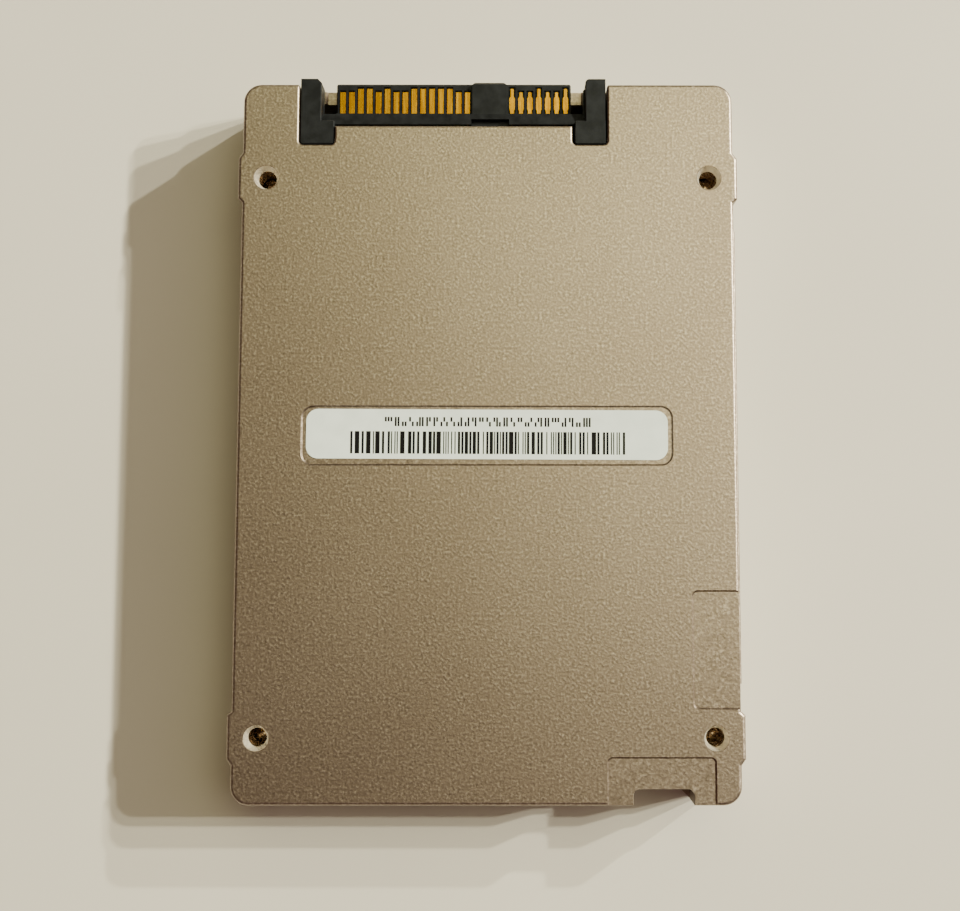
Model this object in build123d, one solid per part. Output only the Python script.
"""Solid state drive, 2.5-inch form factor, 15 mm high, with a 29-contact serial attached connector.

The drive lies on its cover. +Z points out of the face with the four bottom mounting holes, +Y points
out of the connector and +X to the right when that face is read with the connector at the top. The
origin is the middle of the bottom of the bounding box. All sizes are in millimetres.
"""

import math
import os

from build123d import *

# --------------------------------------------------------------------------------------------------
# Driving dimensions: the form factor
# --------------------------------------------------------------------------------------------------
HEIGHT = 15.0
WIDTH = 69.70
HOLE_SPACING_X = 61.72
HOLE_SPACING_Y = 76.60
PLUG_AHEAD = 0.60
COVER_AHEAD = 14.00
COVER_BEHIND = 9.25
LENGTH = PLUG_AHEAD + COVER_AHEAD + HOLE_SPACING_Y + COVER_BEHIND

PLUG_FRONT = LENGTH / 2
COVER_FRONT = PLUG_FRONT - PLUG_AHEAD
COVER_REAR = -LENGTH / 2
FRONT_HOLES = COVER_FRONT - COVER_AHEAD
REAR_HOLES = FRONT_HOLES - HOLE_SPACING_Y
HOLE_MIDDLE = (FRONT_HOLES + REAR_HOLES) / 2
HOLE_X = HOLE_SPACING_X / 2
HOLE_PLACES = [(side * HOLE_X, row) for row in (FRONT_HOLES, REAR_HOLES) for side in (-1, 1)]

# --------------------------------------------------------------------------------------------------
# The two case halves
# --------------------------------------------------------------------------------------------------
CASE_HALF_WIDTH = 34.20
CASE_FRONT = FRONT_HOLES + 13.38
CASE_REAR = REAR_HOLES - 8.80
CASE_CORNER = 2.5
CASE_EDGE = 0.45
NOTCH_EDGE = 0.30
CASE_WALL = 1.60
PLATE_BOTTOM = 13.0
PARTING = 9.0

COVER_HALF_WIDTH = WIDTH / 2
COVER_CORNER = 3.2
COVER_EDGE = 0.6
COVER_WALL = 1.80
COVER_FLOOR = 1.50
RAIL_FRONT = HOLE_MIDDLE + 31.40
RAIL_REAR = HOLE_MIDDLE - 31.40
RAIL_TOP = 11.70
RAIL_THICKNESS = 1.70
RAIL_WINDOW_INNER = 32.0
RAIL_EDGE = 0.32

# The cover's front rim rises a little at both ends of the connector's notch.
RIM_RISE = 0.35
RIM_RISE_LEFT = (-23.45, -23.11)
RIM_RISE_RIGHT = (13.70, 13.35)

# Side screw bosses of the case: the flat part, then a slope back to the side wall at each end.
BOSS_FACE = 34.80
BOSS_INSIDE = 27.6
BOSS_FLAT_INNER = 3.00
BOSS_FLAT_OUTER = 2.75
BOSS_SLOPE_INNER = 0.55
BOSS_SLOPE_OUTER = 0.85
PILLAR_RADIUS = 2.1
BOARD_POST_RADIUS = 2.2

# Mounting holes: a smooth mouth, then an M3 thread at its minor diameter.
MOUTH_RADIUS = 1.70
MOUTH_DEPTH = 2.0
MOUTH_EDGE = 0.06
THREAD_RADIUS = 1.25
THREAD_BOTTOM = 9.6
SIDE_HOLE_Z = HEIGHT - 3.0
SIDE_HOLE_DEPTH = 2.2
SIDE_HOLE_EDGE = 0.25

# Recess for the barcode label, and the two shallow pads at the right side and at the rear.
RECESS_DEPTH = 0.22
RECESS_SLOPE = 0.24
RECESS_WIDTH = 50.95
RECESS_LENGTH = 8.25
RECESS_RADIUS = 1.70
RECESS_Y = HOLE_MIDDLE + 2.30
PAD_RADIUS = 0.80
SIDE_PAD_X = 27.75
SIDE_PAD_FRONT = HOLE_MIDDLE - 18.62
SIDE_PAD_REAR = HOLE_MIDDLE - 34.50
REAR_PAD_LEFT = 16.17
REAR_PAD_RIGHT = 30.85
REAR_PAD_FRONT = HOLE_MIDDLE - 40.72

# Cut-out at the rear, through both halves.
CUTOUT_LEFT = 19.70
CUTOUT_RIGHT = 27.85
CUTOUT_FRONT = HOLE_MIDDLE - 44.97
CUTOUT_RADIUS = 0.85
CUTOUT_WALL = 1.5
COVER_NOTCH_RIGHT = 28.30
COVER_NOTCH_DEPTH = 1.80
COVER_NOTCH_SLOPE = 1.80

# Screws through the cover, and the recess for the label on it.
SCREW_RADIUS = 1.25
SCREW_HEAD_RADIUS = 2.25
SCREW_HEAD_HEIGHT = 1.05
SCREW_HEAD_LIFT = 0.10
SCREW_TIP = 6.0
SCREW_GAP = 0.10
SCREW_END_ROOM = 0.60
SOCKET_RADIUS = 0.62
SOCKET_LOBE_RADIUS = 0.20
SOCKET_DEPTH = 0.70
PRODUCT_RECESS = 0.25
PRODUCT_LABEL_WIDTH = 58.0
PRODUCT_LABEL_LENGTH = 66.0
PRODUCT_LABEL_RADIUS = 2.0
PRODUCT_LABEL_GAP = 0.40
LABEL_THICKNESS = 0.10
BARCODE_LABEL_WIDTH = 49.50
BARCODE_LABEL_LENGTH = 6.80
BARCODE_LABEL_RADIUS = 1.65
BARCODE_LABEL_Y = RECESS_Y + 0.17
BARCODE_LABEL_TURN = -0.25

# --------------------------------------------------------------------------------------------------
# Connector
# --------------------------------------------------------------------------------------------------
CONNECTOR_X = -4.86
PITCH = 1.27
POWER_LENGTHS = "SSLLSLSSLLLLLSS"
SIGNAL_LENGTHS = "LSSLSSL"
POWER_TO_SIGNAL = 6.35
SECONDARY_COUNT = 7
SECONDARY_PITCH = 0.80
FIRST_CONTACT_X = CONNECTOR_X - 12.5 * PITCH
FIRST_SIGNAL_X = FIRST_CONTACT_X + (len(POWER_LENGTHS) - 1) * PITCH + POWER_TO_SIGNAL

NOTCH_LEFT = -26.40
NOTCH_RIGHT = 16.75
NOTCH_REAR = HOLE_MIDDLE + 45.70
FOOT_NOTCH_REAR = HOLE_MIDDLE + 43.05
FOOT_NOTCH_LEFT = -21.40
FOOT_NOTCH_RIGHT = 11.85
NOTCH_RADIUS = 0.60

WING_TOP = HEIGHT - 0.30
WING_UNDERSIDE = 11.0
WING_FRONT = HOLE_MIDDLE + 52.58
WING_EDGE = 0.12
WING_LEAD_IN = 0.58
RIB_WIDTH = 0.28
RIB_FRONT = WING_FRONT - 1.15
RIB_TOP = HEIGHT - 1.70
CONTACT_PLANE = HEIGHT - 3.50
TONGUE_TOP = CONTACT_PLANE - 0.08
TONGUE_THICKNESS = 1.23
TONGUE_FRONT = PLUG_FRONT - 0.08
TONGUE_CORNER = 0.28
TONGUE_EDGE = 0.25
BAR_FRONT = HOLE_MIDDLE + 47.95
BAR_REAR = HOLE_MIDDLE + 46.28
BAR_FRONT_TOP = HEIGHT - 1.90
BAR_REAR_TOP = HEIGHT - 1.30
BAR_STEP_FRONT = HOLE_MIDDLE + 48.40
BAR_STEP_TOP = CONTACT_PLANE + 0.30
SLOT_LEFT = -2.36
SLOT_RIGHT = 2.98
SLOT_FRONT = HOLE_MIDDLE + 47.12
SLOT_DEPTH = 1.40

LONG_CONTACT_FRONT = HOLE_MIDDLE + 52.15
SHORT_CONTACT_FRONT = HOLE_MIDDLE + 51.66
CONTACT_THICKNESS = 0.20
CONTACT_EDGE = 0.08
POWER_CONTACT_WIDTH = 0.84
POWER_TAIL_WIDTH = 0.64
SIGNAL_TIP_WIDTH = 0.50
SIGNAL_BODY_WIDTH = 0.84
SIGNAL_BASE_WIDTH = 0.62
SIGNAL_SHOULDER = HOLE_MIDDLE + 50.85
SIGNAL_WAIST = HOLE_MIDDLE + 49.00
SIGNAL_SLOPE = 0.15
SIGNAL_TIP_BEVEL = 0.12
SECONDARY_WIDTH = 0.45
SECONDARY_SINK = 0.08
POCKET_WIDTH = 0.98
POCKET_DEPTH = 0.30
POCKET_AHEAD = 0.22
TAIL_REAR = HOLE_MIDDLE + 44.40
TAIL_BEND = HOLE_MIDDLE + 45.60
TAIL_EMBEDDED = 0.40
TONGUE_LEFT = -21.60
TONGUE_RIGHT = 11.79
BRIDGE_LEFT = -2.26
BRIDGE_RIGHT = 2.62
BRIDGE_TOP = TONGUE_TOP + 0.65
BRIDGE_BOTTOM = CONTACT_PLANE - TONGUE_THICKNESS - 0.45
BRIDGE_EDGE = 0.35
LEFT_WING = (-26.25, -23.35)
RIGHT_WING = (13.70, 16.54)
LEFT_FOOT = (-26.25, -21.50)
RIGHT_FOOT = (12.20, 16.60)
LEFT_FOOT_REAR = HOLE_MIDDLE + 43.20
RIGHT_FOOT_REAR = HOLE_MIDDLE + 43.20
FOOT_CORNER = 0.25
TAB_THICKNESS = 0.30
TAB_LENGTH = 1.80
TAB_HEIGHT = 1.20
TAB_REACH = 1.50
TAB_SETBACK = 0.50

# --------------------------------------------------------------------------------------------------
# Boards and the stack between the case and the cover
# --------------------------------------------------------------------------------------------------
BOARD_TOP = 9.20
BOARD_THICKNESS = 1.20
BOARD_BOTTOM = BOARD_TOP - BOARD_THICKNESS
MEMORY_BOARD_TOP = 4.50
MEMORY_BOARD_THICKNESS = 1.00
MEMORY_BOARD_BOTTOM = MEMORY_BOARD_TOP - MEMORY_BOARD_THICKNESS
BOARD_HALF_WIDTH = 31.8
BOARD_FRONT = HOLE_MIDDLE + 48.0
BOARD_REAR = -27.5
MEMORY_BOARD_FRONT = 31.5
BOARD_CORNER = 1.0
BOSS_ROOM = 0.60
SPACER_PLACES = [(side * 29.0, y) for y in (-24.0, 22.0) for side in (-1, 1)]
SPACER_ACROSS_FLATS = 4.0
STUD_RADIUS = 0.95
BOARD_HOLE_RADIUS = 1.10
STUD_GAP = 0.02
STUD_LENGTH = 2.50
STUD_HOLE_LENGTH = 2.80
PAN_HEAD_RADIUS = 1.75
PAN_HEAD_HEIGHT = 0.90
PAN_HEAD_EDGE = 0.30
PAN_HEAD_SLOT = (1.80, 0.35)
BOARD_LINK_Y = 26.0
BOARD_LINK_WIDTH = 30.0
BOARD_LINK_SPLIT = 6.4
BOARD_LINK_GAP = 0.10
SOCKET_BODY_LENGTH = 5.6
SOCKET_TROUGH_LENGTH = 3.4
SOCKET_WALL = 1.0
SOCKET_FLOOR = 0.6
PLUG_BODY_LENGTH = 5.0
PLUG_TONGUE_LENGTH = 2.8

CHIP_LENGTH = 18.0
CHIP_WIDTH = 12.0
CHIP_HEIGHT = 1.20
CHIP_COLUMNS = (-19.5, -6.5, 6.5, 19.5)
REAR_BANK_Y = -14.0
FRONT_BANK_Y = 8.0

CONTROLLER_X = 5.0
CONTROLLER_Y = 12.0
CONTROLLER_SIZE = 23.0
CONTROLLER_HEIGHT = 2.20
CONTROLLER_SUBSTRATE = 0.90
CONTROLLER_BORDER = 1.20
CONTROLLER_PAD = 1.00
CONTROLLER_PAD_SIZE = 20.0
FLASH_PAD = 1.50
PAD_BORDER = 0.30
PAD_CORNER = 0.50
COVER_PAD_WIDTH = 52.0
COVER_PAD_LENGTH = 40.0
DRAM_PLACES = ((-13.0, 11.0), (-22.5, 11.0))
DRAM_SIZE = (8.0, 13.0, 1.1)
CHIP_EDGE = 0.08
DIMPLE_INSET = 1.20
DIMPLE_RADIUS = 0.40
DIMPLE_DEPTH = 0.05

CAPACITOR_RADIUS = 3.15
CAPACITOR_LENGTH = 16.0
CAPACITOR_REAR = -45.2
CAPACITOR_COUNT = 7
CAPACITOR_PITCH = 6.9
LEAD_RADIUS = 0.25
LEAD_SPACING = 2.50
LEAD_REACH = 1.60
LEAD_OVERLAP = 0.50
CAN_EDGE = 0.40
CRIMP_INSET = 1.80
CRIMP_RADIUS = 0.35
FOAM_BORDER = 2.50
FOAM_INSET = 1.0
FOAM_LENGTH = 13.0

# Small parts on the main board: places in plan; then width, length and height.
INDUCTOR_PLACES = ((-22.0, 34.0), (-16.4, 34.0), (-10.8, 34.0), (-5.2, 34.0))
INDUCTOR_SIZE = 4.2
INDUCTOR_HEIGHT = 2.0
REGULATOR_PLACES = ((-22.0, 28.5), (-16.4, 28.5), (-10.8, 28.5))
REGULATOR_SIZE = (4.0, 4.0, 0.9)
TANTALUM_PLACES = ((4.0, 33.5), (10.0, 33.5), (16.0, 33.5))
TANTALUM_SIZE = (4.3, 7.3, 2.9)
FUSE_PLACE = (22.0, 34.5)
FUSE_SIZE = (1.6, 3.2, 0.8)
SUPPRESSOR_PLACE = (24.6, 34.5)
SUPPRESSOR_SIZE = (1.8, 3.6, 1.1)
OSCILLATOR_PLACE = (22.5, 21.5)
OSCILLATOR_SIZE = (2.5, 3.2, 0.8)
BOOT_CHIP_PLACE = (23.0, 12.0)
BOOT_CHIP_SIZE = (3.9, 4.9, 1.5)
BOOT_CHIP_LIFT = 0.15
BOOT_LEAD_PITCH = 1.27
BOOT_LEAD_WIDTH = 0.40
BOOT_LEAD_THICKNESS = 0.15

# Rows of equal small parts along X: first place, count and pitch, with one size for each kind.
SMALL_CERAMIC = (0.8, 1.6, 0.8)
LARGE_CERAMIC = (1.25, 2.0, 1.0)
RESISTOR = (0.5, 1.0, 0.35)
CERAMIC_ROWS = (
    (-5.0, CONTROLLER_Y + 13.2, 8, 2.6, SMALL_CERAMIC),
    (-5.0, CONTROLLER_Y - 13.0, 8, 2.6, SMALL_CERAMIC),
    (-24.0, 39.0, 12, 2.4, LARGE_CERAMIC),
)
RESISTOR_ROWS = (
    (4.5, 39.2, 6, 1.4, RESISTOR),
    (18.4, CONTROLLER_Y - 6.0, 6, 1.3, RESISTOR),
    (-25.0, 3.0, 10, 1.5, RESISTOR),
)
END_CAP_SHARE = 0.22
END_CAP_STEP = 0.03


# --------------------------------------------------------------------------------------------------
# Building blocks
# --------------------------------------------------------------------------------------------------
def block(x0, x1, y0, y1, z0, z1):
    """A block between two opposite corners."""
    size = Box(x1 - x0, y1 - y0, z1 - z0)
    return Pos((x0 + x1) / 2, (y0 + y1) / 2, (z0 + z1) / 2) * size


def rounded_block(x0, x1, y0, y1, z0, z1, radius):
    """A block whose four upright edges are rounded."""
    outline = RectangleRounded(x1 - x0, y1 - y0, radius)
    return Pos((x0 + x1) / 2, (y0 + y1) / 2, z0) * extrude(outline, z1 - z0)


def placed_block(x, y, width, length, z0, z1):
    """A block centred on a point in plan."""
    return block(x - width / 2, x + width / 2, y - length / 2, y + length / 2, z0, z1)


def post(x, y, z0, z1, radius):
    """An upright cylinder."""
    return Pos(x, y, (z0 + z1) / 2) * Cylinder(radius, z1 - z0)


def cone(x, y, z0, z1, bottom_radius, top_radius):
    """An upright cone frustum."""
    return Pos(x, y, (z0 + z1) / 2) * Cone(bottom_radius, top_radius, z1 - z0)


def prism(points, z0, z1):
    """An upright prism over a polygon given by its corners in plan."""
    return Pos(0, 0, z0) * extrude(make_face(Polyline(*points, close=True)), z1 - z0)


def along_x(points, x0, x1):
    """A bar along X over a profile given by its (y, z) corners."""
    profile = Plane.YZ.offset(x0) * make_face(Polyline(*points, close=True))
    return extrude(profile, amount=x1 - x0, dir=(1, 0, 0))


def along_y(points, y0, y1):
    """A bar along Y over a profile given by its (x, z) corners."""
    profile = Plane.XZ.offset(-y0) * make_face(Polyline(*points, close=True))
    return extrude(profile, amount=y1 - y0, dir=(0, 1, 0))


def between(side, inner, outer, y0, y1, z0, z1):
    """A block between two distances from the middle plane, on one side of it."""
    near = side * inner
    far = side * outer
    return block(min(near, far), max(near, far), y0, y1, z0, z1)


# --------------------------------------------------------------------------------------------------
# Mounting case: the half with the screw holes
# --------------------------------------------------------------------------------------------------
def boss_outline(side, row):
    """Plan corners of one side screw boss, sloping back to the side wall at both ends."""
    outward = 1 if row > HOLE_MIDDLE else -1
    inner_flat = row - outward * BOSS_FLAT_INNER
    outer_flat = row + outward * BOSS_FLAT_OUTER
    inner_end = inner_flat - outward * BOSS_SLOPE_INNER
    outer_end = outer_flat + outward * BOSS_SLOPE_OUTER
    return [
        (side * BOSS_INSIDE, inner_end),
        (side * CASE_HALF_WIDTH, inner_end),
        (side * BOSS_FACE, inner_flat),
        (side * BOSS_FACE, outer_flat),
        (side * CASE_HALF_WIDTH, outer_end),
        (side * BOSS_INSIDE, outer_end),
    ]


def case_outline_solid():
    """The case's outer shape, bosses included, before anything is cut out of it."""
    solid = rounded_block(
        -CASE_HALF_WIDTH, CASE_HALF_WIDTH, CASE_REAR, CASE_FRONT, PARTING, HEIGHT, CASE_CORNER
    )
    for x, row in HOLE_PLACES:
        solid += prism(boss_outline(math.copysign(1, x), row), PARTING, HEIGHT)
    return solid


def notch_cutter():
    """The connector's notch in the plate, with its two deeper foot pockets."""
    front = CASE_FRONT + 5
    cutter = block(NOTCH_LEFT, NOTCH_RIGHT, NOTCH_REAR, front, 0, HEIGHT + 1)
    for x0, x1 in ((NOTCH_LEFT, FOOT_NOTCH_LEFT), (FOOT_NOTCH_RIGHT, NOTCH_RIGHT)):
        cutter += rounded_block(x0, x1, FOOT_NOTCH_REAR, front, 0, HEIGHT + 1, NOTCH_RADIUS)
    return cutter


def cutout_cutter():
    """The rear cut-out in the case."""
    rear = CASE_REAR - 5
    return rounded_block(CUTOUT_LEFT, CUTOUT_RIGHT, rear, CUTOUT_FRONT, 0, HEIGHT + 1, CUTOUT_RADIUS)


def sloped_recess(x0, x1, y0, y1, radius):
    """A shallow recess in the top face whose sides slope in towards its floor."""
    slope = math.degrees(math.atan(RECESS_SLOPE / RECESS_DEPTH))
    outline = RectangleRounded(x1 - x0, y1 - y0, radius)
    bowl = extrude(outline, -RECESS_DEPTH, taper=slope)
    lid = extrude(outline, 1)
    return Pos((x0 + x1) / 2, (y0 + y1) / 2, HEIGHT) * (bowl + lid)


def pad_cutters():
    """The label recess and the two shallow pads that run out over an edge."""
    half = RECESS_WIDTH / 2
    half_length = RECESS_LENGTH / 2
    return [
        sloped_recess(-half, half, RECESS_Y - half_length, RECESS_Y + half_length, RECESS_RADIUS),
        sloped_recess(SIDE_PAD_X, CASE_HALF_WIDTH + 5, SIDE_PAD_REAR, SIDE_PAD_FRONT, PAD_RADIUS),
        sloped_recess(REAR_PAD_LEFT, REAR_PAD_RIGHT, CASE_REAR - 5, REAR_PAD_FRONT, PAD_RADIUS),
    ]


def case_inside():
    """The room under the plate, and the two windows that the cover's rails fill."""
    inside = rounded_block(
        -CASE_HALF_WIDTH + CASE_WALL,
        CASE_HALF_WIDTH - CASE_WALL,
        CASE_REAR + CASE_WALL,
        CASE_FRONT - CASE_WALL,
        PARTING - 1,
        PLATE_BOTTOM,
        CASE_CORNER - CASE_WALL,
    )
    for side in (-1, 1):
        inside += between(side, RAIL_WINDOW_INNER, WIDTH, RAIL_REAR, RAIL_FRONT, PARTING - 1, RAIL_TOP)
    return inside


def case_supports():
    """Everything that hangs from the plate: bosses, pillars, board posts, pedestals, cut-out wall."""
    supports = []
    for x, row in HOLE_PLACES:
        outline = boss_outline(math.copysign(1, x), row)
        supports.append(prism(outline, PARTING, PLATE_BOTTOM))
        supports.append(post(x, row, COVER_FLOOR, PARTING, PILLAR_RADIUS))
    for x, y in SPACER_PLACES:
        supports.append(post(x, y, BOARD_TOP, PLATE_BOTTOM, BOARD_POST_RADIUS))
    size = CONTROLLER_SIZE
    pad_top = BOARD_TOP + CONTROLLER_HEIGHT + CONTROLLER_PAD
    supports.append(placed_block(CONTROLLER_X, CONTROLLER_Y, size, size, pad_top, PLATE_BOTTOM))
    flash_top = BOARD_TOP + CHIP_HEIGHT + FLASH_PAD
    slab_width = CHIP_COLUMNS[-1] - CHIP_COLUMNS[0] + CHIP_WIDTH
    supports.append(placed_block(0, REAR_BANK_Y, slab_width, CHIP_LENGTH, flash_top, PLATE_BOTTOM))
    supports.append(
        block(
            CUTOUT_LEFT - CUTOUT_WALL,
            CUTOUT_RIGHT + CUTOUT_WALL,
            CASE_REAR + CASE_WALL - 0.1,
            CUTOUT_FRONT + CUTOUT_WALL,
            PARTING,
            PLATE_BOTTOM,
        )
    )
    return supports


def bottom_hole_cutter(x, y):
    """A bottom mounting hole: smooth mouth with a broken edge, then the thread."""
    mouth_floor = HEIGHT - MOUTH_DEPTH
    step = MOUTH_RADIUS - THREAD_RADIUS
    cutter = post(x, y, mouth_floor, HEIGHT + 1, MOUTH_RADIUS)
    edge = MOUTH_EDGE
    cutter += cone(x, y, HEIGHT - edge, HEIGHT + edge, MOUTH_RADIUS, MOUTH_RADIUS + 2 * edge)
    cutter += cone(x, y, mouth_floor - step, mouth_floor, THREAD_RADIUS, MOUTH_RADIUS)
    cutter += post(x, y, THREAD_BOTTOM, mouth_floor, THREAD_RADIUS)
    return cutter


def side_hole_cutter(side, y):
    """A side mounting hole, drilled in from the boss face."""
    bore = Cylinder(THREAD_RADIUS, SIDE_HOLE_DEPTH)
    edge = Cone(THREAD_RADIUS, THREAD_RADIUS + SIDE_HOLE_EDGE, SIDE_HOLE_EDGE)
    tool = Pos(0, 0, -SIDE_HOLE_DEPTH / 2) * bore + Pos(0, 0, -SIDE_HOLE_EDGE / 2) * edge
    return Pos(side * BOSS_FACE, y, SIDE_HOLE_Z) * Rot(0, side * 90, 0) * tool


def outer_top_edges(solid):
    """Edges round the outside of the case's top face."""
    top = solid.faces().filter_by(Axis.Z).sort_by(Axis.Z)[-1]
    return top.outer_wire().edges()


def notch_top_edges(solid):
    """Edges of the case's top face round the connector's notch."""
    chosen = []
    for edge in outer_top_edges(solid):
        middle = edge.center()
        across = NOTCH_LEFT - 0.1 < middle.X < NOTCH_RIGHT + 0.1
        if across and middle.Y > FOOT_NOTCH_REAR - 0.1:
            chosen.append(edge)
    return chosen


def mounting_case():
    """The cast half with the bottom and side screw holes."""
    case = case_outline_solid() - cutout_cutter()
    case = fillet(outer_top_edges(case), CASE_EDGE)
    case -= notch_cutter()
    case = fillet(notch_top_edges(case), NOTCH_EDGE)
    for cutter in pad_cutters():
        case -= cutter
    case -= case_inside()
    for support in case_supports():
        case += support
    case -= notch_cutter()
    case -= cutout_cutter()
    for x, y in HOLE_PLACES:
        case -= bottom_hole_cutter(x, y)
        case -= side_hole_cutter(math.copysign(1, x), y)
        case -= post(x, y, COVER_FLOOR - 1, SCREW_TIP + SCREW_END_ROOM, SCREW_RADIUS)
    for x, y in SPACER_PLACES:
        case -= post(x, y, BOARD_TOP - 1, BOARD_TOP + STUD_HOLE_LENGTH, STUD_RADIUS)
    return case


# --------------------------------------------------------------------------------------------------
# Cover and its screws
# --------------------------------------------------------------------------------------------------
def cover_notch_cutter():
    """The cover's part of the rear cut-out, with one sloped corner."""
    rear = COVER_REAR - 1
    inner = COVER_REAR + COVER_NOTCH_DEPTH
    right = COVER_NOTCH_RIGHT
    outline = [
        (CUTOUT_LEFT, rear),
        (right + 1, rear),
        (right, COVER_REAR),
        (right - COVER_NOTCH_SLOPE, inner),
        (CUTOUT_LEFT, inner),
    ]
    return prism(outline, -1, PARTING + 1)


def cover_shell():
    """The tub with its rounded bottom edge."""
    tub = rounded_block(
        -COVER_HALF_WIDTH, COVER_HALF_WIDTH, COVER_REAR, COVER_FRONT, 0, PARTING, COVER_CORNER
    )
    bottom = tub.faces().sort_by(Axis.Z)[0]
    tub = fillet(bottom.outer_wire().edges(), COVER_EDGE)
    inside = rounded_block(
        -COVER_HALF_WIDTH + COVER_WALL,
        COVER_HALF_WIDTH - COVER_WALL,
        COVER_REAR + COVER_WALL,
        COVER_FRONT - COVER_WALL,
        COVER_FLOOR,
        PARTING + 1,
        COVER_CORNER - COVER_WALL,
    )
    return tub - inside


def cover_rail(side):
    """A side rail that stands above the tub's rim, between the screw bosses."""
    inner = COVER_HALF_WIDTH - RAIL_THICKNESS
    rail = between(side, inner, COVER_HALF_WIDTH, RAIL_REAR, RAIL_FRONT, PARTING, RAIL_TOP)
    outer = rail.edges().filter_by(Axis.Y).group_by(Axis.Z)[-1].sort_by(Axis.X)
    return fillet(outer[-1] if side > 0 else outer[0], RAIL_EDGE)


def rim_rise(end, ramp):
    """The raised end of the front rim, from one end of the notch down a short ramp."""
    top, foot = ramp
    profile = [(end, PARTING), (foot, PARTING), (top, PARTING + RIM_RISE), (end, PARTING + RIM_RISE)]
    return along_y(profile, COVER_FRONT - COVER_WALL, COVER_FRONT)


def cover():
    """The cast tub that closes the drive."""
    tub = cover_shell()
    tub += block(
        CUTOUT_LEFT - CUTOUT_WALL,
        COVER_NOTCH_RIGHT + CUTOUT_WALL,
        COVER_REAR + COVER_WALL - 0.1,
        COVER_REAR + COVER_NOTCH_DEPTH + CUTOUT_WALL,
        COVER_FLOOR,
        PARTING,
    )
    for side in (-1, 1):
        tub += cover_rail(side)
    tub += rim_rise(NOTCH_LEFT, RIM_RISE_LEFT)
    tub += rim_rise(NOTCH_RIGHT, RIM_RISE_RIGHT)
    tub -= cover_notch_cutter()
    half_width = PRODUCT_LABEL_WIDTH / 2 + PRODUCT_LABEL_GAP
    half_length = PRODUCT_LABEL_LENGTH / 2 + PRODUCT_LABEL_GAP
    tub -= rounded_block(
        -half_width,
        half_width,
        HOLE_MIDDLE - half_length,
        HOLE_MIDDLE + half_length,
        -1,
        PRODUCT_RECESS,
        PRODUCT_LABEL_RADIUS,
    )
    shank_hole = SCREW_RADIUS + SCREW_GAP
    head_hole = SCREW_HEAD_RADIUS + 1.5 * SCREW_GAP
    for x, y in HOLE_PLACES:
        tub -= post(x, y, -1, COVER_FLOOR + 1, shank_hole)
        tub -= cone(x, y, 0, SCREW_HEAD_LIFT + SCREW_HEAD_HEIGHT, head_hole, shank_hole)
    return tub


def six_lobe_recess(x, y, z0, z1):
    """The six-lobed socket of a screw head."""
    recess = post(x, y, z0, z1, SOCKET_RADIUS)
    for step in range(6):
        angle = math.radians(60 * step)
        lobe_x = x + SOCKET_RADIUS * math.cos(angle)
        lobe_y = y + SOCKET_RADIUS * math.sin(angle)
        recess += post(lobe_x, lobe_y, z0, z1, SOCKET_LOBE_RADIUS)
    return recess


def cover_screw(x, y):
    """A countersunk screw driven up through the cover into a case pillar."""
    head_top = SCREW_HEAD_LIFT + SCREW_HEAD_HEIGHT
    screw = cone(x, y, SCREW_HEAD_LIFT, head_top, SCREW_HEAD_RADIUS, SCREW_RADIUS)
    screw += post(x, y, head_top, SCREW_TIP, SCREW_RADIUS - STUD_GAP)
    return screw - six_lobe_recess(x, y, 0, SCREW_HEAD_LIFT + SOCKET_DEPTH)


# --------------------------------------------------------------------------------------------------
# Connector
# --------------------------------------------------------------------------------------------------
def front_of(length_code):
    """Front end of a contact: the long ones mate first."""
    return LONG_CONTACT_FRONT if length_code == "L" else SHORT_CONTACT_FRONT


def tail(x, width):
    """The hidden run of a contact: through the bar, down to the board and back along it."""
    top = CONTACT_PLANE
    thick = CONTACT_THICKNESS
    left = x - width / 2
    right = x + width / 2
    run = block(left, right, TAIL_BEND, BAR_FRONT + TAIL_EMBEDDED, top - thick, top)
    leg = block(left, right, TAIL_BEND, TAIL_BEND + thick, BOARD_TOP, top)
    foot = block(left, right, TAIL_REAR, TAIL_BEND + thick, BOARD_TOP, BOARD_TOP + thick)
    return run + leg + foot


def power_contact(x, front):
    """A straight gold blade with bevelled long edges."""
    half = POWER_CONTACT_WIDTH / 2
    bottom = CONTACT_PLANE - CONTACT_THICKNESS
    blade = block(x - half, x + half, BAR_FRONT, front, bottom, CONTACT_PLANE)
    top_edges = blade.edges().group_by(Axis.Z)[-1]
    nose = top_edges.sort_by(Axis.Y)[-1]
    blade = chamfer(list(top_edges.filter_by(Axis.Y)) + [nose], CONTACT_EDGE)
    return blade + tail(x, POWER_TAIL_WIDTH)


def signal_contact(x, front):
    """A bottle-shaped gold blade: narrow tip, wide middle, narrow base."""
    tip = SIGNAL_TIP_WIDTH / 2
    body = SIGNAL_BODY_WIDTH / 2
    base = SIGNAL_BASE_WIDTH / 2
    half_outline = [
        (base, BAR_FRONT),
        (base, SIGNAL_WAIST - SIGNAL_SLOPE),
        (body, SIGNAL_WAIST + SIGNAL_SLOPE),
        (body, SIGNAL_SHOULDER - SIGNAL_SLOPE),
        (tip, SIGNAL_SHOULDER + SIGNAL_SLOPE),
        (tip, front - SIGNAL_TIP_BEVEL),
        (tip - SIGNAL_TIP_BEVEL, front),
    ]
    right = [(x + dx, y) for dx, y in half_outline]
    left = [(x - dx, y) for dx, y in reversed(half_outline)]
    blade = prism(right + left, CONTACT_PLANE - CONTACT_THICKNESS, CONTACT_PLANE)
    top_edges = blade.edges().group_by(Axis.Z)[-1].sort_by(Axis.Y)[1:]
    blade = chamfer(top_edges, CONTACT_EDGE / 2)
    return blade + tail(x, SIGNAL_BASE_WIDTH)


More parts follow.
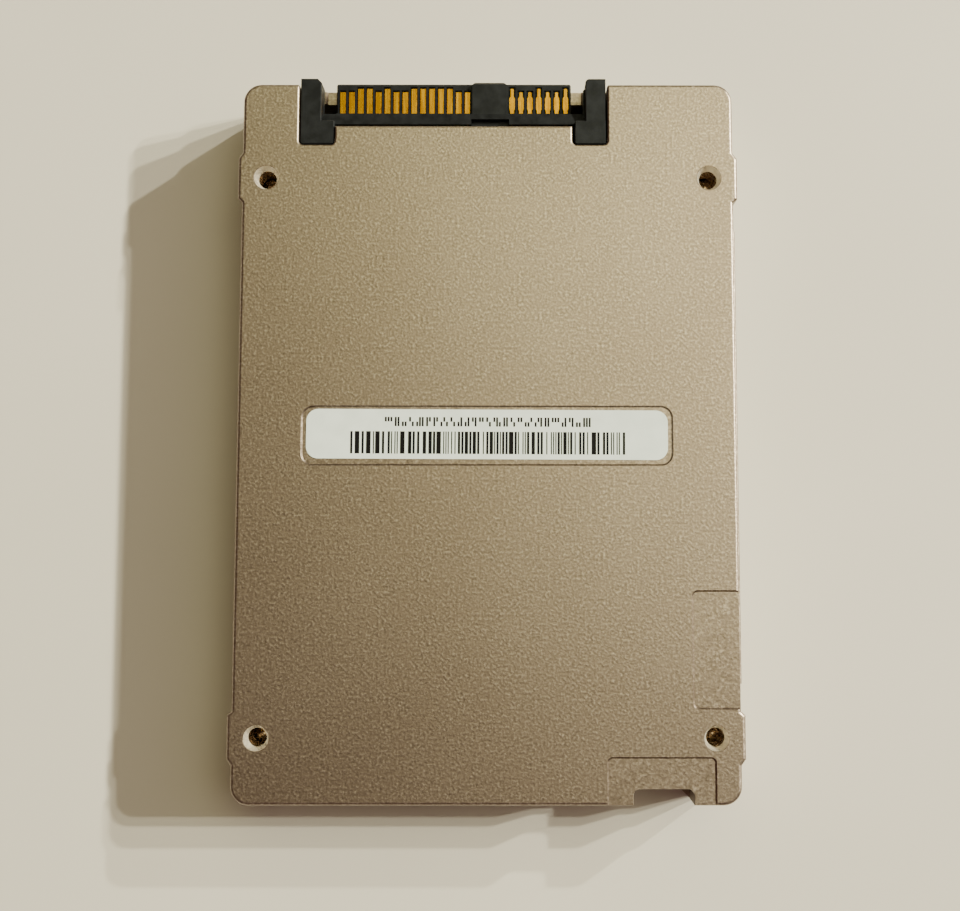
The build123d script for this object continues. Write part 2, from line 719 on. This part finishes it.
def secondary_contact(x):
    """A narrow blade on the underside of the bridge."""
    left = x - SECONDARY_WIDTH / 2
    right = x + SECONDARY_WIDTH / 2
    low = BRIDGE_BOTTOM - SECONDARY_SINK
    high = low + CONTACT_THICKNESS
    bend = BAR_REAR - 3 * CONTACT_THICKNESS
    blade = block(left, right, bend, SHORT_CONTACT_FRONT, low, high)
    leg = block(left, right, bend, bend + CONTACT_THICKNESS, BOARD_TOP, high)
    return blade + leg


def power_contacts():
    """The fifteen power contacts, left to right."""
    return [
        power_contact(FIRST_CONTACT_X + PITCH * i, front_of(code)) for i, code in enumerate(POWER_LENGTHS)
    ]


def signal_contacts():
    """The seven primary signal contacts, left to right."""
    return [
        signal_contact(FIRST_SIGNAL_X + PITCH * i, front_of(code)) for i, code in enumerate(SIGNAL_LENGTHS)
    ]


def secondary_contacts():
    """The seven secondary signal contacts, under the bridge."""
    middle = (BRIDGE_LEFT + BRIDGE_RIGHT) / 2
    first = middle - (SECONDARY_COUNT - 1) / 2 * SECONDARY_PITCH
    return [secondary_contact(first + SECONDARY_PITCH * i) for i in range(SECONDARY_COUNT)]


def tongue():
    """The blade that carries the contacts, with a bevelled front edge, and the raised bridge."""
    bottom = CONTACT_PLANE - TONGUE_THICKNESS
    blade = block(TONGUE_LEFT, TONGUE_RIGHT, BAR_REAR, TONGUE_FRONT, bottom, TONGUE_TOP)
    blade = fillet(blade.edges().filter_by(Axis.Z).group_by(Axis.Y)[-1], TONGUE_CORNER)
    level_groups = blade.edges().group_by(Axis.Z)
    front_edges = [
        edge
        for edge in list(level_groups[0]) + list(level_groups[-1])
        if edge.center().Y > TONGUE_FRONT - TONGUE_CORNER
    ]
    blade = chamfer(front_edges, TONGUE_EDGE)
    bridge = block(BRIDGE_LEFT, BRIDGE_RIGHT, BAR_REAR, PLUG_FRONT, BRIDGE_BOTTOM, BRIDGE_TOP)
    return blade + chamfer(bridge.faces().sort_by(Axis.Y)[-1].edges(), BRIDGE_EDGE)


def contact_pockets():
    """Sunken fields in the tongue ahead of each contact and beside it."""
    pockets = []
    for first, lengths in ((FIRST_CONTACT_X, POWER_LENGTHS), (FIRST_SIGNAL_X, SIGNAL_LENGTHS)):
        for i, code in enumerate(lengths):
            left = first + PITCH * i - POCKET_WIDTH / 2
            front = front_of(code) + POCKET_AHEAD
            pockets.append(
                block(left, left + POCKET_WIDTH, BAR_FRONT, front, TONGUE_TOP - POCKET_DEPTH, HEIGHT)
            )
    return pockets


def wing_column(span):
    """A wing's upright block: down to the board beside the bar, clear of the rim ahead of it."""
    x0, x1 = span
    profile = [
        (BAR_REAR - 0.5, BOARD_TOP),
        (BAR_FRONT, BOARD_TOP),
        (BAR_FRONT, WING_UNDERSIDE),
        (WING_FRONT, WING_UNDERSIDE),
        (WING_FRONT, WING_TOP),
        (BAR_REAR - 0.5, WING_TOP),
    ]
    return along_x(profile, x0, x1)


def front_corners(column):
    """The two upright front edges of a wing, left one first."""
    return column.edges().filter_by(Axis.Z).group_by(Axis.Y)[-1].sort_by(Axis.X)


def foot(span, rear):
    """The foot behind a wing, between the case's pocket walls."""
    solid = rounded_block(span[0], span[1], rear, BAR_REAR + 0.3, BOARD_TOP, WING_TOP, FOOT_CORNER)
    return chamfer(solid.faces().sort_by(Axis.Z)[-1].edges(), WING_EDGE)


def left_wing():
    """The wing at the power end, with a lead-in bevel towards the tongue."""
    column = wing_column(LEFT_WING)
    column = chamfer(front_corners(column)[-1], WING_LEAD_IN)
    column = chamfer(column.faces().sort_by(Axis.Z)[-1].edges(), WING_EDGE)
    return column + foot(LEFT_FOOT, LEFT_FOOT_REAR)


def right_wing():
    """The wing at the signal end, with a rounded lead-in and a lower rib towards the tongue."""
    column = wing_column(RIGHT_WING)
    column = fillet(front_corners(column)[0], WING_LEAD_IN)
    column = chamfer(column.faces().sort_by(Axis.Z)[-1].edges(), WING_EDGE)
    inner = RIGHT_WING[0]
    rib = block(inner - RIB_WIDTH, inner + 1, BAR_REAR, RIB_FRONT, WING_UNDERSIDE, RIB_TOP)
    rib = fillet(front_corners(rib)[0], RIB_WIDTH - 0.05)
    return column + rib + foot(RIGHT_FOOT, RIGHT_FOOT_REAR)


def bar():
    """The cross bar behind the tongue: its top slopes forward, a low step runs along its foot."""
    left = LEFT_WING[0] + 0.3
    right = RIGHT_WING[1] - 0.3
    profile = [
        (BAR_REAR, BOARD_TOP),
        (BAR_FRONT, BOARD_TOP),
        (BAR_FRONT, BAR_FRONT_TOP),
        (BAR_REAR, BAR_REAR_TOP),
    ]
    solid = along_x(profile, left, right)
    solid += block(
        TONGUE_LEFT, TONGUE_RIGHT, BAR_REAR, BAR_STEP_FRONT, CONTACT_PLANE - TONGUE_THICKNESS, BAR_STEP_TOP
    )
    slot_bottom = BAR_REAR_TOP - SLOT_DEPTH
    return solid - block(SLOT_LEFT, SLOT_RIGHT, BAR_REAR - 1, SLOT_FRONT, slot_bottom, HEIGHT)


def connector_housing(contacts, tabs):
    """The moulded plug body, with the contacts' and the hold-down tabs' room cut out of it."""
    blade = tongue()
    for pocket in contact_pockets():
        blade -= pocket
    body = blade + bar() + left_wing() + right_wing()
    for piece in contacts + tabs:
        body -= piece
    return body


def hold_down(x, outward, rear):
    """A plated tab on the outside of a foot, bent out and soldered to the board."""
    inner = x - outward * TAB_THICKNESS
    reach = x + outward * TAB_REACH
    y0 = rear + TAB_SETBACK
    y1 = y0 + TAB_LENGTH
    upright = block(min(x, inner), max(x, inner), y0, y1, BOARD_TOP, BOARD_TOP + TAB_HEIGHT)
    tab = block(min(inner, reach), max(inner, reach), y0, y1, BOARD_TOP, BOARD_TOP + TAB_THICKNESS)
    return upright + tab


def hold_downs():
    """Both solder tabs of the connector."""
    return [
        hold_down(LEFT_FOOT[0], -1, LEFT_FOOT_REAR),
        hold_down(RIGHT_FOOT[1], 1, RIGHT_FOOT_REAR),
    ]


# --------------------------------------------------------------------------------------------------
# Boards, the pieces that join them, and the connector between them
# --------------------------------------------------------------------------------------------------
def board(y0, y1, bottom, top):
    """A circuit board with rounded corners and the four holes for the spacers."""
    solid = rounded_block(-BOARD_HALF_WIDTH, BOARD_HALF_WIDTH, y0, y1, bottom, top, BOARD_CORNER)
    for x, y in SPACER_PLACES:
        solid -= post(x, y, bottom - 1, top + 1, BOARD_HOLE_RADIUS)
    return solid


def main_board():
    """The board that carries the connector and the controller, notched round the front pillars."""
    solid = board(BOARD_REAR, BOARD_FRONT, BOARD_BOTTOM, BOARD_TOP)
    for side in (-1, 1):
        solid -= between(
            side,
            BOSS_INSIDE - BOSS_ROOM,
            WIDTH,
            FRONT_HOLES - BOSS_FLAT_INNER - BOSS_SLOPE_INNER - BOSS_ROOM,
            BOARD_FRONT + 1,
            BOARD_BOTTOM - 1,
            BOARD_TOP + 1,
        )
    return solid


def memory_board():
    """The second board, under the main board."""
    return board(BOARD_REAR, MEMORY_BOARD_FRONT, MEMORY_BOARD_BOTTOM, MEMORY_BOARD_TOP)


def board_spacer(x, y):
    """A hexagonal spacer with a stud up through the main board and a tapped lower end."""
    hexagon = RegularPolygon(SPACER_ACROSS_FLATS / 2, 6, major_radius=False)
    body = Pos(x, y, MEMORY_BOARD_TOP) * extrude(hexagon, BOARD_BOTTOM - MEMORY_BOARD_TOP)
    stud = post(x, y, BOARD_BOTTOM, BOARD_TOP + STUD_LENGTH, STUD_RADIUS - STUD_GAP)
    bore = post(x, y, MEMORY_BOARD_TOP - 1, MEMORY_BOARD_TOP + STUD_HOLE_LENGTH, STUD_RADIUS)
    return body + stud - bore


def board_screw(x, y):
    """A pan-head screw up through the memory board into a spacer."""
    head_low = MEMORY_BOARD_BOTTOM - PAN_HEAD_HEIGHT
    head = post(x, y, head_low, MEMORY_BOARD_BOTTOM, PAN_HEAD_RADIUS)
    head = fillet(head.edges().sort_by(Axis.Z)[0], PAN_HEAD_EDGE)
    shank = post(x, y, MEMORY_BOARD_BOTTOM, MEMORY_BOARD_TOP + STUD_LENGTH, STUD_RADIUS - STUD_GAP)
    long, wide = PAN_HEAD_SLOT
    slots = placed_block(x, y, long, wide, head_low - 1, head_low + PAN_HEAD_HEIGHT / 2)
    slots += placed_block(x, y, wide, long, head_low - 1, head_low + PAN_HEAD_HEIGHT / 2)
    return head + shank - slots


def board_socket():
    """The lower half of the board-to-board connector: a trough."""
    body = placed_block(
        0, BOARD_LINK_Y, BOARD_LINK_WIDTH, SOCKET_BODY_LENGTH, MEMORY_BOARD_TOP, BOARD_LINK_SPLIT
    )
    width = BOARD_LINK_WIDTH - 2 * SOCKET_WALL
    floor = MEMORY_BOARD_TOP + SOCKET_FLOOR
    return body - placed_block(0, BOARD_LINK_Y, width, SOCKET_TROUGH_LENGTH, floor, BOARD_LINK_SPLIT + 1)


def board_plug():
    """The upper half of the board-to-board connector: a base with a tongue into the trough."""
    split = BOARD_LINK_SPLIT + BOARD_LINK_GAP
    base = placed_block(0, BOARD_LINK_Y, BOARD_LINK_WIDTH, PLUG_BODY_LENGTH, split, BOARD_BOTTOM)
    width = BOARD_LINK_WIDTH - 2.6 * SOCKET_WALL
    tip = MEMORY_BOARD_TOP + SOCKET_FLOOR + 2 * BOARD_LINK_GAP
    return base + placed_block(0, BOARD_LINK_Y, width, PLUG_TONGUE_LENGTH, tip, split)


# --------------------------------------------------------------------------------------------------
# Chips and pads
# --------------------------------------------------------------------------------------------------
def chip(x, y, width, length, z0, z1):
    """A moulded package with broken top edges and a pin-one dimple; z1 may be below z0 for the underside."""
    solid = placed_block(x, y, width, length, min(z0, z1), max(z0, z1))
    face = solid.faces().sort_by(Axis.Z)[-1 if z1 > z0 else 0]
    solid = chamfer(face.edges(), CHIP_EDGE)
    dimple_x = x - width / 2 + min(DIMPLE_INSET, width / 4)
    dimple_y = y + length / 2 - min(DIMPLE_INSET, length / 4)
    return solid - post(dimple_x, dimple_y, z1 - DIMPLE_DEPTH, z1 + DIMPLE_DEPTH, DIMPLE_RADIUS)


def chip_bank(y, z0, z1):
    """Four memory packages in a row."""
    return [chip(x, y, CHIP_WIDTH, CHIP_LENGTH, z0, z1) for x in CHIP_COLUMNS]


def controller_chip():
    """The controller: a substrate with a smaller moulded body on it."""
    step = BOARD_TOP + CONTROLLER_SUBSTRATE
    substrate = placed_block(
        CONTROLLER_X, CONTROLLER_Y, CONTROLLER_SIZE, CONTROLLER_SIZE, BOARD_TOP, step
    )
    lid = CONTROLLER_SIZE - 2 * CONTROLLER_BORDER
    return substrate + chip(CONTROLLER_X, CONTROLLER_Y, lid, lid, step, BOARD_TOP + CONTROLLER_HEIGHT)


def soft_pad(x, y, width, length, z0, z1):
    """A heat pad with slightly rounded corners."""
    return rounded_block(x - width / 2, x + width / 2, y - length / 2, y + length / 2, z0, z1, PAD_CORNER)


def pad_row(y, z0, z1):
    """Four heat pads, one for each package of a bank."""
    width = CHIP_WIDTH - 2 * PAD_BORDER
    length = CHIP_LENGTH - 2 * PAD_BORDER
    return [soft_pad(x, y, width, length, z0, z1) for x in CHIP_COLUMNS]


def boot_memory_chip():
    """An eight-lead package with gull-wing leads."""
    x, y = BOOT_CHIP_PLACE
    width, length, height = BOOT_CHIP_SIZE
    low = BOARD_TOP + BOOT_CHIP_LIFT
    body = placed_block(x, y, width, length, low, low + height)
    body = chamfer(body.faces().sort_by(Axis.Z)[-1].edges(), 1.5 * CHIP_EDGE)
    thick = BOOT_LEAD_THICKNESS
    wide = BOOT_LEAD_WIDTH
    shelf = low + height / 2
    for side in (-1, 1):
        knee = x + side * (width / 2 + 0.5)
        toe = knee + side * 0.3
        for step in range(4):
            lead_y = y + BOOT_LEAD_PITCH * (step - 1.5)
            body += placed_block(knee - side * 0.3, lead_y, 0.6, wide, shelf - thick, shelf)
            body += placed_block(knee, lead_y, thick, wide, BOARD_TOP, shelf)
            body += placed_block(toe, lead_y, 0.6, wide, BOARD_TOP, BOARD_TOP + thick)
    return body


# --------------------------------------------------------------------------------------------------
# Power parts and small parts on the main board
# --------------------------------------------------------------------------------------------------
def backup_capacitor(x):
    """A sleeved can lying along Y, with its crimp groove and two leads on the board's rear edge."""
    z = BOARD_TOP + LEAD_RADIUS
    front = CAPACITOR_REAR + CAPACITOR_LENGTH
    middle = (CAPACITOR_REAR + front) / 2
    can = Pos(x, middle, z) * Rot(90, 0, 0) * Cylinder(CAPACITOR_RADIUS, CAPACITOR_LENGTH)
    can = fillet(can.edges(), CAN_EDGE)
    can -= Pos(x, front - CRIMP_INSET, z) * Rot(90, 0, 0) * Torus(CAPACITOR_RADIUS, CRIMP_RADIUS)
    length = BOARD_REAR + LEAD_REACH - front + LEAD_OVERLAP
    for side in (-1, 1):
        lead = Rot(90, 0, 0) * Cylinder(LEAD_RADIUS, length)
        can += Pos(x + side * LEAD_SPACING / 2, front - LEAD_OVERLAP + length / 2, z) * lead
    return can


def backup_capacitors():
    """The row of cans that holds the drive up through a power loss."""
    first = -(CAPACITOR_COUNT - 1) / 2 * CAPACITOR_PITCH
    return [backup_capacitor(first + CAPACITOR_PITCH * i) for i in range(CAPACITOR_COUNT)]


def capacitor_pad():
    """The foam strip between the cans and the case."""
    half = (CAPACITOR_COUNT - 1) / 2 * CAPACITOR_PITCH + FOAM_BORDER
    top_of_cans = BOARD_TOP + LEAD_RADIUS + CAPACITOR_RADIUS
    rear = CAPACITOR_REAR + FOAM_INSET
    return rounded_block(-half, half, rear, rear + FOAM_LENGTH, top_of_cans, PLATE_BOTTOM, 1.0)


def power_inductor(x, y):
    """A shielded inductor: a rounded square body on two end terminals."""
    half = INDUCTOR_SIZE / 2
    low = BOARD_TOP + 0.1
    body = rounded_block(x - half, x + half, y - half, y + half, low, low + INDUCTOR_HEIGHT, 0.6)
    for side in (-1, 1):
        body += placed_block(x + side * (half - 0.35), y, 0.6, 3.0, BOARD_TOP, BOARD_TOP + 0.3)
    return body


def two_ended_part(x, y, size):
    """A chip part whose end caps stand slightly proud of its middle; its length runs along Y."""
    width, length, height = size
    cap = length * END_CAP_SHARE
    low = BOARD_TOP + END_CAP_STEP
    high = BOARD_TOP + height - END_CAP_STEP
    part = placed_block(x, y, width - 2 * END_CAP_STEP, length - 2 * cap, low, high)
    for side in (-1, 1):
        end_y = y + side * (length - cap) / 2
        part += placed_block(x, end_y, width, cap, BOARD_TOP, BOARD_TOP + height)
    return part


def part_rows(rows):
    """Rows of equal chip parts along X."""
    parts = []
    for first_x, y, count, pitch, size in rows:
        parts += [two_ended_part(first_x + pitch * i, y, size) for i in range(count)]
    return parts


def board_chip(place, size):
    """A moulded package on the main board."""
    width, length, height = size
    return chip(place[0], place[1], width, length, BOARD_TOP, BOARD_TOP + height)


def sticker(y, width, length, floor, radius, turn):
    """A thin rounded label on a recess floor, turned a little about its middle."""
    outline = RectangleRounded(width, length, radius)
    return Pos(0, y, floor) * Rot(0, 0, turn) * extrude(outline, LABEL_THICKNESS)


def barcode_label():
    """The narrow label in the case's recess."""
    return sticker(
        BARCODE_LABEL_Y,
        BARCODE_LABEL_WIDTH,
        BARCODE_LABEL_LENGTH,
        HEIGHT - RECESS_DEPTH,
        BARCODE_LABEL_RADIUS,
        BARCODE_LABEL_TURN,
    )


def product_label():
    """The large label in the cover's recess."""
    floor = PRODUCT_RECESS - LABEL_THICKNESS
    return sticker(
        HOLE_MIDDLE, PRODUCT_LABEL_WIDTH, PRODUCT_LABEL_LENGTH, floor, PRODUCT_LABEL_RADIUS, 0
    )


def cover_pad(top):
    """The large heat pad between the memory board's chips and the cover."""
    middle = (REAR_BANK_Y + FRONT_BANK_Y) / 2
    return soft_pad(0, middle, COVER_PAD_WIDTH, COVER_PAD_LENGTH, COVER_FLOOR, top)


def export_node(name, solids):
    """Write one node, whose separate pieces stay separate solids."""
    pieces = [solid for shape in solids for solid in shape.solids()]
    shape = pieces[0] if len(pieces) == 1 else Compound(pieces)
    export_step(shape, f"parts/{name}.step")


def connector_nodes():
    """The connector's nodes, by name."""
    power = power_contacts()
    signal = signal_contacts()
    secondary = secondary_contacts()
    tabs = hold_downs()
    return {
        "connector_housing": [connector_housing(power + signal + secondary, tabs)],
        "power_contacts": power,
        "signal_contacts": signal,
        "secondary_contacts": secondary,
        "connector_hold_downs": tabs,
    }


def memory_nodes():
    """The memory packages on both boards and the heat pads on them, by name."""
    chip_top = BOARD_TOP + CHIP_HEIGHT
    inner_low = BOARD_BOTTOM - CHIP_HEIGHT
    memory_top = MEMORY_BOARD_TOP + CHIP_HEIGHT
    memory_low = MEMORY_BOARD_BOTTOM - CHIP_HEIGHT
    banks = (REAR_BANK_Y, FRONT_BANK_Y)
    return {
        "upper_flash_chips": chip_bank(REAR_BANK_Y, BOARD_TOP, chip_top),
        "inner_flash_chips": chip_bank(REAR_BANK_Y, BOARD_BOTTOM, inner_low),
        "memory_flash_chips": [c for y in banks for c in chip_bank(y, MEMORY_BOARD_TOP, memory_top)],
        "lower_flash_chips": [c for y in banks for c in chip_bank(y, MEMORY_BOARD_BOTTOM, memory_low)],
        "upper_heat_pads": pad_row(REAR_BANK_Y, chip_top, chip_top + FLASH_PAD),
        "middle_heat_pads": pad_row(REAR_BANK_Y, memory_top, inner_low),
        "cover_heat_pad": [cover_pad(memory_low)],
    }


def board_part_nodes():
    """The controller and the other parts on the main board, by name."""
    controller_top = BOARD_TOP + CONTROLLER_HEIGHT
    pad_size = CONTROLLER_PAD_SIZE
    pad_top = controller_top + CONTROLLER_PAD
    return {
        "controller_chip": [controller_chip()],
        "controller_heat_pad": [
            soft_pad(CONTROLLER_X, CONTROLLER_Y, pad_size, pad_size, controller_top, pad_top)
        ],
        "dram_chips": [board_chip(place, DRAM_SIZE) for place in DRAM_PLACES],
        "backup_capacitors": backup_capacitors(),
        "capacitor_pad": [capacitor_pad()],
        "power_inductors": [power_inductor(x, y) for x, y in INDUCTOR_PLACES],
        "power_regulators": [board_chip(place, REGULATOR_SIZE) for place in REGULATOR_PLACES],
        "tantalum_capacitors": [two_ended_part(x, y, TANTALUM_SIZE) for x, y in TANTALUM_PLACES],
        "ceramic_capacitors": part_rows(CERAMIC_ROWS),
        "chip_resistors": part_rows(RESISTOR_ROWS),
        "input_fuse": [two_ended_part(*FUSE_PLACE, FUSE_SIZE)],
        "surge_suppressor": [two_ended_part(*SUPPRESSOR_PLACE, SUPPRESSOR_SIZE)],
        "crystal_oscillator": [board_chip(OSCILLATOR_PLACE, OSCILLATOR_SIZE)],
        "boot_memory_chip": [boot_memory_chip()],
    }


def build_nodes():
    """Every node of the drive, by name."""
    nodes = {
        "mounting_case": [mounting_case()],
        "cover": [cover()],
        "cover_screws": [cover_screw(x, y) for x, y in HOLE_PLACES],
        "barcode_label": [barcode_label()],
        "product_label": [product_label()],
        "main_board": [main_board()],
        "memory_board": [memory_board()],
        "board_spacers": [board_spacer(x, y) for x, y in SPACER_PLACES],
        "board_screws": [board_screw(x, y) for x, y in SPACER_PLACES],
        "board_socket": [board_socket()],
        "board_plug": [board_plug()],
    }
    return nodes | connector_nodes() | memory_nodes() | board_part_nodes()


os.makedirs("parts", exist_ok=True)
for node_name, node_solids in build_nodes().items():
    export_node(node_name, node_solids)
